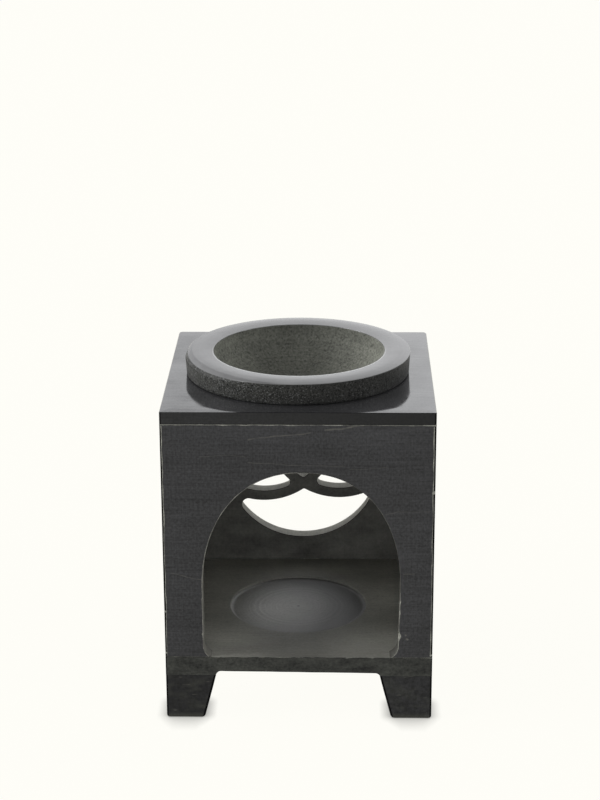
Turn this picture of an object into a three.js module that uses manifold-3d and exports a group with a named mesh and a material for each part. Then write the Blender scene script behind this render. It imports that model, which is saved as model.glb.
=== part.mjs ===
// Soapstone oil burner: a square chamber of glued stone panels on four block feet,
// with an arched front, a pierced lotus roundel at the back, and a loose oil dish
// whose rim rests on the top slab while its bowl hangs through the slab's hole.
// Millimetres. The origin is the middle of the base, +X is to the right of someone
// who faces the arch, -Y is towards them, and +Z is up.

import * as THREE from "three";
import { mergeVertices } from "three/addons/utils/BufferGeometryUtils.js";
import Module from "manifold-3d";

const wasm = await Module();
wasm.setup();

// The body
const bodyWidth = 80;
const bodyDepth = 80;
const wallThickness = 5;
const panelHeight = 73.9;

// Feet: blocks that stand flush with the corners and taper on their inner sides
const footHeight = 14.2;
const footTopWidth = 15.1;
const footSoleWidth = 11.5;
const footToeRadius = 1;
const footBendShare = 0.97; // height of the inner side's bend, of the foot's height
const rightFootExtra = 0.6; // the right feet are cut this much wider

// Base plate, with its underside ground back between the feet
const plateThickness = 6;
const plateRelief = 1;
const plateFillet = 1.5;

// Turned recess for a tealight in the top of the base plate
const recessRadius = 21.5;
const recessDepth = 0.9;
const recessStep = 0.25;
const recessSlopeWidth = 1.7;
const recessShiftX = -0.9;
const recessShiftY = -0.86;

// Arched opening of the front panel: upright jambs under a superellipse that is a
// little slacker on its left side
const archHalfWidth = 29.3;
const archSpringHeight = 21.9;
const archRise = 37.1;
const archLeftPower = 2.17;
const archRightPower = 2.28;
const archShift = 0.83;
const archCornerRadius = 4;
const archCornerTurn = THREE.MathUtils.degToRad(65);

// Top slab, and the dish that hangs in it
const slabThickness = 3.9;
const dishRimHeight = 7;
const dishRimRadius = 34.3;
const dishRimTaper = 0.35;
const dishHeelRound = 0.9;
const dishEdgeRound = 0.5;
const dishMouthRadius = 26.4;
const dishDepth = 16;
const dishFloorThickness = 4;
const dishBowlRadius = 28.9;
const dishFootRadius = 17;
const dishClearance = 1.3;
const dishOffsetShares = { x: -0.58, y: -0.46 }; // of the clearance

// Pierced roundel of the back panel, cut by hand a little out of true
const roundelRadius = 24.7;
const roundelHeight = 32.9; // of its centre above the base plate
const roundelTilt = THREE.MathUtils.degToRad(2.5);
const webWidth = 3.3;
const cellCornerRadius = 0.8;
const wideCornerRadius = 1.6; // at the crescent's right tip and the lower petals' heels
const leftTipRadius = 2.2; // at the crescent's left tip, which is cut a little short

// Middle lines of the bands that outline the petals, each an arc whose centre and
// radius are shares of the roundel's radius, for the right half of the flower
const lowerPetalUnderShares = { x: 0.502, z: 0.466, radius: 0.855 };
const lowerPetalOverShares = { x: 0.44, z: -0.4, radius: 0.52 };
const sidePetalUnderShares = { x: 0.2, z: 0.577, radius: 0.502 };
const sidePetalOverShares = { x: 0.601, z: 0.176, radius: 0.502 };
const centrePetalShares = { x: -0.332, z: 0.366, radius: 0.684 };

// Cuts run this far past the faces that they open
const cutOverrun = 1;

// How finely round stretches are drawn
const arcStep = THREE.MathUtils.degToRad(6);
const cornerStep = THREE.MathUtils.degToRad(30);
const archSteps = 44;
const turnedSegments = 72;
const bowlSteps = 12;
const edgeSteps = 4;

// Heights that follow from the sizes above
const plateTop = footHeight + plateThickness;
const slabBottom = plateTop + panelHeight;
const slabTop = slabBottom + slabThickness;

// Stone as it is finished on each face
const satinStone = stone("#3b3b3d", 0.55);
const roughStone = stone("#303130", 0.7);
const plateStone = stone("#41423f", 0.6);
const polishedStone = stone("#3a3a3e", 0.2);
const turnedStone = stone("#5a5d55", 0.75);

function stone(color, roughness) {
  return new THREE.MeshStandardMaterial({ color, roughness, metalness: 0 });
}

function namedMesh(name, geometry, material) {
  const mesh = new THREE.Mesh(geometry, material);
  mesh.name = name;
  return mesh;
}

// A closed geometry as a solid that can be cut and joined
function solidFrom(geometry) {
  const bare = geometry.clone();
  bare.deleteAttribute("normal");
  bare.deleteAttribute("uv");
  const merged = mergeVertices(bare);
  const surface = new wasm.Mesh({
    numProp: 3,
    vertProperties: merged.getAttribute("position").array,
    triVerts: new Uint32Array(merged.index.array),
  });
  return new wasm.Manifold(surface);
}

function geometryFrom(solid) {
  const surface = solid.getMesh();
  const geometry = new THREE.BufferGeometry();
  const corners = new THREE.BufferAttribute(surface.vertProperties, 3);
  geometry.setAttribute("position", corners);
  geometry.setIndex(new THREE.BufferAttribute(surface.triVerts, 1));
  const faceted = geometry.toNonIndexed();
  faceted.computeVertexNormals();
  return faceted;
}

function point(x, z) {
  return new THREE.Vector2(x, z);
}

// Points along an arc of a circle, both ends included
function arcPoints(circle, fromAngle, toAngle, step = arcStep) {
  const count = Math.max(1, Math.ceil(Math.abs(toAngle - fromAngle) / step));
  const points = [];
  for (let i = 0; i <= count; i++) {
    const angle = fromAngle + ((toAngle - fromAngle) * i) / count;
    const x = circle.x + circle.radius * Math.cos(angle);
    const z = circle.z + circle.radius * Math.sin(angle);
    points.push(point(x, z));
  }
  return points;
}

// An outline in X and Z, given a thickness along +Y from zero
function uprightSlab(shape, thickness) {
  const settings = { depth: thickness, bevelEnabled: false, curveSegments: edgeSteps };
  const geometry = new THREE.ExtrudeGeometry(shape, settings);
  geometry.rotateX(Math.PI / 2);
  geometry.translate(0, thickness, 0);
  return geometry;
}

function levelSlab(shape, thickness) {
  return new THREE.ExtrudeGeometry(shape, { depth: thickness, bevelEnabled: false });
}

// A profile of radius and height, turned about Z
function turned(profile) {
  const geometry = new THREE.LatheGeometry(profile, turnedSegments);
  geometry.rotateX(Math.PI / 2);
  return geometry;
}

// Feet

// One foot in side view, from its outer face at zero inwards, made wider by extra
function footShape(extra) {
  const topWidth = footTopWidth + extra;
  const soleWidth = footSoleWidth + extra;
  const bendHeight = footHeight * footBendShare;
  const lean = (topWidth - soleWidth) / bendHeight;
  const shape = new THREE.Shape();
  shape.moveTo(0, footHeight);
  shape.lineTo(0, footToeRadius);
  shape.quadraticCurveTo(0, 0, footToeRadius, 0);
  shape.lineTo(soleWidth - footToeRadius, 0);
  const toeEnd = soleWidth + lean * footToeRadius;
  shape.quadraticCurveTo(soleWidth, 0, toeEnd, footToeRadius);
  shape.quadraticCurveTo(topWidth, bendHeight, topWidth, footHeight);
  shape.closePath();
  return shape;
}

// The side views from the front and from the side, crossed
function footGeometry(extraX, extraY) {
  const fromFront = uprightSlab(footShape(extraX), footTopWidth + extraY);
  const fromSide = uprightSlab(footShape(extraY), footTopWidth + extraX);
  fromSide.rotateZ(Math.PI / 2);
  fromSide.translate(footTopWidth + extraX, 0, 0);
  return geometryFrom(solidFrom(fromFront).intersect(solidFrom(fromSide)));
}

// Corners of the plate in the order of a foot's quarter turns, with what each foot
// has extra along its own X and Y
const footCorners = [
  { name: "foot_front_left", sideX: -1, sideY: -1, extraX: 0, extraY: 0 },
  { name: "foot_front_right", sideX: 1, sideY: -1, extraX: 0, extraY: rightFootExtra },
  { name: "foot_back_right", sideX: 1, sideY: 1, extraX: rightFootExtra, extraY: 0 },
  { name: "foot_back_left", sideX: -1, sideY: 1, extraX: 0, extraY: 0 },
];

function foot(corner, quarterTurns) {
  const mesh = namedMesh(corner.name, footGeometry(corner.extraX, corner.extraY), satinStone);
  mesh.rotation.z = (quarterTurns * Math.PI) / 2;
  mesh.position.set((corner.sideX * bodyWidth) / 2, (corner.sideY * bodyDepth) / 2, 0);
  return mesh;
}

// Base plate

// What is ground away between two feet, from the seam at zero upwards; extra is how
// much wider the foot on its right is
function reliefCut(span, length, extra) {
  const leftEdge = footTopWidth - span / 2;
  const rightEdge = span / 2 - footTopWidth - extra;
  const reach = Math.sqrt(plateRelief * (2 * plateFillet - plateRelief));
  const centreHeight = plateRelief - plateFillet;
  const seamAngle = Math.asin(-centreHeight / plateFillet);
  const right = { x: rightEdge - reach, z: centreHeight, radius: plateFillet };
  const left = { x: leftEdge + reach, z: centreHeight, radius: plateFillet };
  const outline = [
    point(leftEdge, -cutOverrun),
    point(rightEdge, -cutOverrun),
    ...arcPoints(right, seamAngle, Math.PI / 2, cornerStep),
    ...arcPoints(left, Math.PI / 2, Math.PI - seamAngle, cornerStep),
  ];
  const geometry = uprightSlab(new THREE.Shape(outline), length + 2 * cutOverrun);
  geometry.translate(0, -length / 2 - cutOverrun, 0);
  return geometry;
}

function recessCut() {
  const floorRadius = recessRadius - recessSlopeWidth;
  const start = point(floorRadius, -recessDepth);
  const bend = point(recessRadius, -recessDepth);
  const end = point(recessRadius, -recessStep);
  const slope = new THREE.QuadraticBezierCurve(start, bend, end);
  const profile = [
    point(0, -recessDepth),
    ...slope.getPoints(edgeSteps),
    point(recessRadius, cutOverrun),
    point(0, cutOverrun),
  ];
  return turned(profile);
}

function basePlate() {
  const block = new THREE.BoxGeometry(bodyWidth, bodyDepth, plateThickness);
  block.translate(0, 0, plateThickness / 2);
  const frontToBack = reliefCut(bodyWidth, bodyDepth, rightFootExtra);
  const sideToSide = reliefCut(bodyDepth, bodyWidth, 0).rotateZ(Math.PI / 2);
  const recess = recessCut().translate(recessShiftX, recessShiftY, plateThickness);
  const solid = solidFrom(block)
    .subtract(solidFrom(frontToBack))
    .subtract(solidFrom(sideToSide))
    .subtract(solidFrom(recess));
  const mesh = namedMesh("base_plate", geometryFrom(solid), plateStone);
  mesh.position.z = footHeight;
  return mesh;
}

// Walls of the chamber

// The arch's curve from its left springing over to its right one
function archCurve() {
  const points = [];
  for (let i = 0; i <= archSteps; i++) {
    const angle = Math.PI * (1 - i / archSteps);
    const power = angle > Math.PI / 2 ? archLeftPower : archRightPower;
    const across = Math.sign(Math.cos(angle)) * Math.abs(Math.cos(angle)) ** (2 / power);
    const up = Math.abs(Math.sin(angle)) ** (2 / power);
    points.push(point(archShift + archHalfWidth * across, archSpringHeight + archRise * up));
  }
  return points;
}

// The lower corner of the opening, rounded in towards its middle; side is -1 or 1
function archCorner(side) {
  const x = archShift + side * (archHalfWidth - archCornerRadius);
  const z = archCornerRadius * Math.sin(archCornerTurn);
  const circle = { x, z, radius: archCornerRadius };
  if (side < 0) return arcPoints(circle, Math.PI + archCornerTurn, Math.PI);
  return arcPoints(circle, 0, -archCornerTurn);
}

function frontPanel() {
  const outline = [
    point(-bodyWidth / 2, 0),
    ...archCorner(-1),
    ...archCurve(),
    ...archCorner(1),
    point(bodyWidth / 2, 0),
    point(bodyWidth / 2, panelHeight),
    point(-bodyWidth / 2, panelHeight),
  ];
  const geometry = uprightSlab(new THREE.Shape(outline), wallThickness);
  const mesh = namedMesh("front_panel", geometry, satinStone);
  mesh.position.set(0, -bodyDepth / 2, plateTop);
  return mesh;
}

function sidePanel(name, side) {
  const depth = bodyDepth - 2 * wallThickness;
  const geometry = new THREE.BoxGeometry(wallThickness, depth, panelHeight);
  const mesh = namedMesh(name, geometry, roughStone);
  mesh.position.set((side * (bodyWidth - wallThickness)) / 2, 0, plateTop + panelHeight / 2);
  return mesh;
}

// Pierced roundel

// The circle down the middle of a band, on the right or left half of the flower
function bandCircle(shares, side) {
  return {
    x: side * shares.x * roundelRadius,
    z: shares.z * roundelRadius,
    radius: shares.radius * roundelRadius,
  };
}

// A cell lies within a band's circle or beyond it, half a web away from its middle
function within(circle, corner = cellCornerRadius) {
  return { ...circle, radius: circle.radius - webWidth / 2, turn: 1, corner };
}

function beyond(circle, corner = cellCornerRadius) {
  return { ...circle, radius: circle.radius + webWidth / 2, turn: -1, corner };
}

// Where two circles cross, to the left of the way from a to b when side is 1
function crossing(a, b, side) {
  const apart = Math.hypot(b.x - a.x, b.z - a.z);
  const along = (apart ** 2 + a.radius ** 2 - b.radius ** 2) / (2 * apart);
  const across = side * Math.sqrt(a.radius ** 2 - along ** 2);
  const wayX = (b.x - a.x) / apart;
  const wayZ = (b.z - a.z) / apart;
  return { x: a.x + wayX * along - wayZ * across, z: a.z + wayZ * along + wayX * across };
}

// The small circle that rounds the corner between two edges of a cell
function cornerCircle(a, b, radius) {
  const shrunkA = { ...a, radius: a.radius - a.turn * radius };
  const shrunkB = { ...b, radius: b.radius - b.turn * radius };
  const middle = crossing(shrunkA, shrunkB, a.turn * b.turn);
  return { ...middle, radius };
}

// Which way a point lies from another
function bearing(from, to) {
  return Math.atan2(to.z - from.z, to.x - from.x);
}

// The angle that ends a sweep begun at start, the way that turn says
function sweepEnd(start, end, turn) {
  const full = 2 * Math.PI;
  const sweep = (((turn * (end - start)) % full) + full) % full;
  return start + turn * sweep;
}

// A cell's outline from the arcs that bound it, listed anticlockwise, each with the
// radius of the corner at its end
function cellOutline(edges) {
  const count = edges.length;
  const corners = edges.map((edge, i) => cornerCircle(edge, edges[(i + 1) % count], edge.corner));
  const outline = [];
  edges.forEach((edge, i) => {
    const before = corners[(i + count - 1) % count];
    const after = corners[i];
    const next = edges[(i + 1) % count];
    const start = bearing(edge, before);
    const end = sweepEnd(start, bearing(edge, after), edge.turn);
    outline.push(...arcPoints(edge, start, end));
    const cornerStart = edge.turn > 0 ? bearing(edge, after) : bearing(after, edge);
    const cornerEnd = next.turn > 0 ? bearing(next, after) : bearing(after, next);
    const cornerStop = sweepEnd(cornerStart, cornerEnd, 1);
    outline.push(...arcPoints(after, cornerStart, cornerStop, cornerStep).slice(1, -1));
  });
  return outline;
}

function roundelRim(corner) {
  return { x: 0, z: 0, radius: roundelRadius, turn: 1, corner };
}

// The cells on the right of the flower
function rightCells() {
  const lowerUnder = bandCircle(lowerPetalUnderShares, 1);
  const lowerOver = bandCircle(lowerPetalOverShares, 1);
  const sideUnder = bandCircle(sidePetalUnderShares, 1);
  const sideOver = bandCircle(sidePetalOverShares, 1);
  const centre = bandCircle(centrePetalShares, 1);
  return [
    [within(lowerUnder), within(lowerOver), beyond(centre, wideCornerRadius)],
    [within(sideUnder), within(sideOver), beyond(centre)],
    [roundelRim(cellCornerRadius), beyond(sideUnder), beyond(lowerOver)],
    [roundelRim(cellCornerRadius), beyond(centre), beyond(sideOver)],
  ].map(cellOutline);
}

// The crescent under the flower
function crescent() {
  const right = bandCircle(lowerPetalUnderShares, 1);
  const left = bandCircle(lowerPetalUnderShares, -1);
  const rim = roundelRim(wideCornerRadius);
  return cellOutline([rim, beyond(right), beyond(left, leftTipRadius)]);
}

function centrePetal() {
  const right = bandCircle(centrePetalShares, 1);
  const left = bandCircle(centrePetalShares, -1);
  return cellOutline([within(right), within(left)]);
}

function roundelCells() {
  const right = rightCells();
  const left = right.map((cell) => cell.map((p) => point(-p.x, p.y)).reverse());
  const middle = point(0, roundelHeight);
  return [crescent(), centrePetal(), ...right, ...left].map((cell) =>
    cell.map((p) => p.clone().add(middle).rotateAround(middle, roundelTilt)),
  );
}

function backPanel() {
  const shape = new THREE.Shape([
    point(-bodyWidth / 2, 0),
    point(bodyWidth / 2, 0),
    point(bodyWidth / 2, panelHeight),
    point(-bodyWidth / 2, panelHeight),
  ]);
  shape.holes = roundelCells().map((cell) => new THREE.Path(cell));
  const mesh = namedMesh("back_panel", uprightSlab(shape, wallThickness), roughStone);
  mesh.position.set(0, bodyDepth / 2 - wallThickness, plateTop);
  return mesh;
}

// Top slab and dish

function topSlab() {
  const shape = new THREE.Shape([
    point(-bodyWidth / 2, -bodyDepth / 2),
    point(bodyWidth / 2, -bodyDepth / 2),
    point(bodyWidth / 2, bodyDepth / 2),
    point(-bodyWidth / 2, bodyDepth / 2),
  ]);
  const hole = { x: 0, z: 0, radius: dishBowlRadius + dishClearance };
  shape.holes = [new THREE.Path(arcPoints(hole, 0, 2 * Math.PI).slice(1))];
  const mesh = namedMesh("top_slab", levelSlab(shape, slabThickness), polishedStone);
  mesh.position.z = slabBottom;
  return mesh;
}

// Outside of the bowl below the slab, from its foot up to the slab's underside
function bowlOutside(bottom) {
  const points = [];
  for (let i = 0; i <= bowlSteps; i++) {
    const angle = ((Math.PI / 2) * i) / bowlSteps;
    const radius = dishFootRadius + (dishBowlRadius - dishFootRadius) * Math.sin(angle);
    points.push(point(radius, -slabThickness + (bottom + slabThickness) * Math.cos(angle)));
  }
  return points;
}

// Inside of the bowl, from below the rounded edge of its mouth to its lowest point
function bowlInside() {
  const top = dishRimHeight - dishEdgeRound;
  const points = [];
  for (let i = 0; i <= bowlSteps; i++) {
    const angle = ((Math.PI / 2) * i) / bowlSteps;
    const radius = i < bowlSteps ? dishMouthRadius * Math.cos(angle) : 0;
    points.push(point(radius, top - (dishDepth - dishEdgeRound) * Math.sin(angle)));
  }
  return points;
}

// Rounded lower edge of the rim, from where it lies on the slab up to its side
function dishHeel() {
  const radius = dishRimRadius - dishRimTaper;
  const start = point(radius - dishHeelRound, 0);
  const bend = point(radius, 0);
  const end = point(radius, dishHeelRound);
  return new THREE.QuadraticBezierCurve(start, bend, end).getPoints(edgeSteps);
}

// The dish in section; its rim's underside is at zero
function dishProfile() {
  const bottom = dishRimHeight - dishDepth - dishFloorThickness;
  return [
    point(0, bottom),
    ...bowlOutside(bottom),
    point(dishBowlRadius, 0),
    ...dishHeel(),
    point(dishRimRadius, dishRimHeight - dishEdgeRound),
    point(dishRimRadius - dishEdgeRound, dishRimHeight),
    point(dishMouthRadius + dishEdgeRound, dishRimHeight),
    ...bowlInside(),
  ];
}

function dish() {
  const mesh = namedMesh("oil_dish", turned(dishProfile()), turnedStone);
  const offsetX = dishOffsetShares.x * dishClearance;
  const offsetY = dishOffsetShares.y * dishClearance;
  mesh.position.set(offsetX, offsetY, slabTop);
  return mesh;
}

// Assembly

const base = new THREE.Group();
base.add(basePlate(), ...footCorners.map(foot));

const chamber = new THREE.Group();
chamber.add(
  frontPanel(),
  backPanel(),
  sidePanel("left_panel", -1),
  sidePanel("right_panel", 1),
  topSlab(),
);

const burner = new THREE.Group();
burner.add(base, chamber, dish());

export default burner;
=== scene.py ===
"""A square soapstone oil burner with its loose dish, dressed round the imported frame.

Sizes are in millimetres in the frame's own axes, and turn into metres where meshes are made.
"""

import math
from typing import NamedTuple

import bmesh
import bpy
from mathutils import Matrix, Vector, noise
from mathutils.geometry import delaunay_2d_cdt


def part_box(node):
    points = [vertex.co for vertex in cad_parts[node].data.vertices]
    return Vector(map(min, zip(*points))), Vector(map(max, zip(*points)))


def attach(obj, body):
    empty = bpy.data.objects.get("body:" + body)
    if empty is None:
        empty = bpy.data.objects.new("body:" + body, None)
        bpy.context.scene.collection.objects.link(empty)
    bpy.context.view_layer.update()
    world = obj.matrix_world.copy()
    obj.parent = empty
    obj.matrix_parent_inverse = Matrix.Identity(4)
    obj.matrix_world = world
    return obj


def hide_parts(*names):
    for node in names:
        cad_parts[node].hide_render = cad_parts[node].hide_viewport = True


MM = 0.001

# The photograph's camera
PHOTO_HEIGHT = 800
SENSOR = 36
FOCAL_PIXELS = 2040.6
CAMERA_PLACE = (12.1, -594.3, 289.1)
CAMERA_YAW = math.radians(1.18)
CAMERA_PITCH = math.radians(18.68)
CAMERA_ROLL = math.radians(-0.22)
CAMERA_NEAR = 10

# How closely outlines are followed, and how many steps curves have
POINT_SPACING = 0.5
CORNER_SPACING = 0.12
SAME_POINT = 0.002
NEAR_POINTS = 0.00001
LEAST_MITRE_SHARE = 0.5
CURVE_STEPS = 12
ARCH_STEPS = 240
TURNED_SEGMENTS = 240
LEG_STEPS = 20
FILLET_STEPS = 4
FALL_STEPS = 10
HEEL_STEPS = 8
SIDE_STEPS = 16
CROWN_STEPS = 24
LIP_STEPS = 6
BOWL_OUTSIDE_STEPS = 24
BOWL_INSIDE_STEPS = 40
SHARP_ANGLE = math.radians(35)

# What delaunay_2d_cdt is to fill
INSIDE = 1
INSIDE_BUT_HOLES = 2

# Arched opening, as in the part's source
ARCH_HALF_WIDTH = 29.3
ARCH_SPRING_HEIGHT = 21.9
ARCH_RISE = 37.1
ARCH_LEFT_POWER = 2.17
ARCH_RIGHT_POWER = 2.28
ARCH_SHIFT = 0.83
ARCH_CORNER_RADIUS = 4
ARCH_CORNER_TURN = math.radians(65)
RIGHT_JAMB_LEAN = 0.6

# Pierced roundel, as in the part's source, with its bands' middles and radii as shares of its own
ROUNDEL_RADIUS = 24.7
ROUNDEL_HEIGHT = 32.9
ROUNDEL_TILT = math.radians(2.5)
WEB_WIDTH = 3.3
CELL_CORNER = 0.8
WIDE_CORNER = 1.6
LEFT_TIP = 2.2
LOWER_UNDER_SHARES = (0.502, 0.466, 0.855)
LOWER_OVER_SHARES = (0.44, -0.4, 0.52)
SIDE_UNDER_SHARES = (0.2, 0.577, 0.502)
SIDE_OVER_SHARES = (0.601, 0.176, 0.502)
CENTRE_SHARES = (-0.332, 0.366, 0.684)

# Feet and the underside between them
FOOT_TAPER = 3.6
FOOT_TOE = 1
FOOT_BEND_SHARE = 0.97
FOOT_OUTER_ROUND = 0.55
FOOT_INNER_ROUND = 0.7
FOOT_SOLE_ARRIS = 0.3
PLATE_RELIEF = 1
PLATE_FILLET = 1.5
PLATE_ROUND = 0.4
RELIEF_LEAN = 0.01
LEAST_RELIEF = 0.1

# Turned recess
RECESS_RADIUS = 21.5
RECESS_DEPTH = 0.9
RECESS_STEP = 0.25
RECESS_SLOPE = 1.7
RECESS_LIP = 0.15
RECESS_LIP_DEPTH = 0.12
RECESS_PLACE = (-0.9, -0.86)

# Dish and the hole that it hangs in
DISH_MOUTH = 26.4
DISH_DEPTH = 16
DISH_FLOOR = 4
DISH_BOWL = 28.9
DISH_FOOT = 17
DISH_TAPER = 0.35
DISH_HEEL = 0.9
DISH_CLEARANCE = 1.3
DISH_LIP = 0.15
DISH_ARRIS = 0.12
DISH_NECK_ROUND = 0.3
DISH_WOBBLE = 0.05
WOBBLES_ROUND = 2
WOBBLE_RISE = 9
RIM_EDGE_FALL = 0.35
RIM_LIP_FALL = 0.25
RIM_FALL_REACH = 4
SOFT_ARRIS = 1.5
SOFT_WAY = math.radians(210)
SOFT_REACH = math.radians(66)
SOFT_LEAST = 0.001

# The dish's top and bowl are turned a little out of true with its side
DISH_LEAN_HEIGHT = 2.2
DISH_TOP_SHIFT = 0.42
DISH_TOP_WIDTH_SHARE = 0.988

# Slab corners in plan, and how its polished top falls away towards its edges
SLAB_FRONT_ROUND = 0.5
SLAB_BACK_ROUND = 1.3
SLAB_FALL = 0.19
SLAB_FALL_REACH = 5
SLAB_FALL_POWER = 2.4
SLAB_BACK_FALL_SHARE = 0.15

# The materials' numbers in a slab of stone, in a foot and in the dish
FACE, BRUISE, CHAMFER, WALL, DULL, CHAMBER = range(6)
FOOT_ARRIS = 1
DISH_SIDE, DISH_RIM, DISH_INSIDE = range(3)


class Wear(NamedTuple):
    """An arris: its chamfer, the bruised strip beside it, and the materials of the strip and the chamfer."""

    chamfer: float
    bruise: float
    slot: int = BRUISE
    edge: int = CHAMFER


FRONT_TOP = Wear(0.02, 0.22)
FRONT_TOP_DULL = (13, 36)
FRONT_CORNER = Wear(0.5, 0.2)
FRONT_FOOT = Wear(0.03, 0.1, DULL)
FRONT_JAMB = Wear(0.04, 0.16)
FRONT_CROWN = Wear(0.04, 0.1, DULL)
FRONT_BEHIND = Wear(0.12, 0.0, WALL)
NOTCH_PLACE = (29.4, 7.1)
NOTCH_WEAR = Wear(0.3, 0.4)
NOTCH_SEEN_SHARE = 0.3
BACK_CORNER = Wear(0.42, 0.24, DULL)
BACK_OUTSIDE = Wear(0.12, 0.16, DULL)
BACK_RIGHT_FOOT = Wear(0.05, 0.2)
BACK_FOOT = Wear(0.03, 0.0, WALL)
BACK_INSIDE = Wear(0.12, 0.0, WALL)
SIDE_OUTSIDE = Wear(0.1, 0.16, DULL)
SIDE_INSIDE = Wear(0.1, 0.0, WALL)
SLAB_FRONT = Wear(0.12, 0.0, FACE)
SLAB_EDGE = Wear(0.2, 0.0, FACE, FACE)
SLAB_UNDER = Wear(0.1, 0.0, WALL)
PLATE_TOP = Wear(0.04, 0.15, DULL)
PLATE_GROUND = Wear(0.35, 0.0, CHAMFER)
PLATE_SEAM = Wear(0.03, 0.0, CHAMFER)

# How arrises change along their length: lengths of the changes, their shares, and seeds
CHAMFER_CHANGE = 6
CHAMFER_CHANGE_SHARE = 0.3
BRUISE_CHANGE = 3.5
BRUISE_CHANGE_SHARE = 1.1
BRUISE_LEAST_SHARE = 0.25
BRUISE_DIP_SHARE = 0.3
BRUISE_SEED = 1.7
CHIP_LENGTH = 1.7
CHIP_GRAIN = 0.7
CHIP_GRAIN_SHARE = 0.35
CHIP_SEEDS = (7.3, 3.1)
CHIP_LEVEL = 0.53
CHIP_REACH = 0.7
CHIP_SEEN = 0.02
HOLE_SEED = 11
FAR_SEED = 5
FRONT_SEED, BACK_SEED, LEFT_SEED, RIGHT_SEED = 3, 31, 71, 83
SLAB_SEED, PLATE_TOP_SEED, PLATE_UNDER_SEED = 47, 61, 67

# Tones
WHITE = (1.0, 0.991, 0.939)
CHALK = (0.36, 0.36, 0.315)
DULL_CHALK = (0.2, 0.2, 0.172)
VEIN_TONE = (0.17, 0.165, 0.14)
PANEL_TONE = (0.028, 0.028, 0.0295)
FOOT_TONE = (0.0095, 0.0095, 0.01)
FOOT_DUST_TONE = (0.05, 0.051, 0.042)
FLOOR_TONE = (0.165, 0.164, 0.146)
RECESS_TONE = (0.197, 0.197, 0.187)
SLAB_TONE = (0.034, 0.034, 0.036)
DARK_TONE = (0.007, 0.007, 0.007)
SPECK_TONE = (0.165, 0.168, 0.17)
RIM_TONE = (0.165, 0.165, 0.167)
# The painted highlight along the near side of the dish's lip
LIP_HIGHLIGHT_TONE = (0.5, 0.5, 0.5)
LEAST_TONE_SHARE = 0.05

# Ways that looks change, and the stretch of X over which most change from the left to the right
RIGHTWARDS = (1, 0, 0)
LEFTWARDS = (-1, 0, 0)
BACKWARDS = (0, 1, 0)
UPWARDS = (0, 0, 1)
ACROSS = (-34, 34)


class Grain(NamedTuple):
    """Noise: its lumps along X, Y and Z, how finely it is broken up, how roughly, and its shift."""

    x: float
    y: float
    z: float
    detail: float = 2
    roughness: float = 0.5
    shift: tuple = (0, 0, 0)


# A rubbed stone's tone, strengths of striations, clouds and grain, roughness, and shares from left to right,
# which paint shade towards the chamber's right
CHAMBER_LOOK = ((0.15, 0.149, 0.136), 0.3, 1, 0.35, 0.6, (1, 0.86))
# The slab's edge, with shares that paint it lighter on its left
SLAB_EDGE_TONE = (0.012, 0.012, 0.0123)
SLAB_EDGE_SHARES = (1.25, 0.5)

# A turned stone's tone, grain, strengths of rings, grain, pale and dark specks, shares of painted light from
# left to right, roughness and IOR
SIDE_LOOK = ((0.023, 0.0233, 0.0213), 0.5, 0.1, 2.4, 0.6, 0.9, (1.48, 0.42), 0.5, 1.29)
BOWL_LOOK = ((0.12, 0.123, 0.104), 0.75, 0.25, 1, 0.1, 0.35, (1.22, 1.4), 0.8, 1.4)

# Shares of a tone from left to right, where the jamb's paint shade on the right jamb, and how much of an
# arris is rubbed pale
JAMB_SHARES = (0.46, 0.2)
FOOT_SHARES = (0.62, 1.2)
BRIGHT_SHOWN, DULL_SHOWN, PATCHY_SHOWN = 0.9, 0.7, 0.25

# Noises with their strengths. Spans carry a value from the first two numbers to the last two.
# Grades do so along a way, and patches by the distance from a place.
PANEL_CLOUD = Grain(14, 14, 8, 3)
PANEL_LINES = Grain(9, 9, 0.4)
PANEL_SPECKLE = Grain(0.8, 0.8, 0.8, 2, 0.6)
PANEL_STREAKS = ((Grain(60, 60, 1.1, 3, 0.6), 0.3), (PANEL_LINES, 0.45), (Grain(0.4, 0.4, 6), 0.35))
PANEL_RELIEF = 0.006
PANEL_CLOUD_LEVELS = (0.3, 0.7)
PANEL_ROUGHNESS_CHANGE = (-0.06, 0.08)
ARRIS_DASHES = Grain(3.2, 3.2, 3.2, 4, 0.65)
ARRIS_DASH_LEVELS = (0.5, 0.62)
ARRIS_SHOWN_SHARE = 0.35
ARRIS_FINE = Grain(0.5, 0.5, 0.5)
ARRIS_FINE_SPAN = (0.3, 0.7, 0.55, 1)
DARK_MOTTLE = (Grain(2, 2, 2), 0.4)
FOOT_GRIT = Grain(0.9, 0.9, 0.9, 3, 0.6)
FOOT_MOTTLE = ((FOOT_GRIT, 2.2), (Grain(0.5, 0.5, 3), 0.6), (Grain(5, 5, 5, 3), 0.6))
FOOT_PATCHES = Grain(6, 6, 2.5, 3, 0.5, (4, 1, 8))
FOOT_PATCH_SPAN = (0.5, 0.8, 0, 0.45)
FOOT_SOLE_DUST = (UPWARDS, 0.5, 2, 0.75, 0)
FOOT_SCRAPES = Grain(2.6, 2.6, 0.4, 1, 0.5, (2, 5, 7))
FOOT_SCRAPE_SPAN = (0.7, 0.8, 0, 0.25)
FOOT_RELIEF = 0.01
SAWN_RIDGES = Grain(0.7, 4, 0.7, 3)
SAWN_MOTTLE = ((Grain(3, 3, 3, 4), 0.4), (SAWN_RIDGES, 0.3))
PLATE_GRAINS = Grain(1, 1, 0.8, 3, 0.7)
PLATE_MOTTLE = ((Grain(7, 7, 3, 4, 0.6), 1.6), (PLATE_GRAINS, 1.3))

# A rough stone's tone, mottle, ridges and their relief, roughness and IOR
SAWN_LOOK = ((0.38, 0.373, 0.328), SAWN_MOTTLE, SAWN_RIDGES, 0.02, 0.62, 1.42)
PLATE_EDGE_LOOK = ((0.03, 0.031, 0.0272), PLATE_MOTTLE, PLATE_GRAINS, 0.02, 0.6, 1.3)
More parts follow.
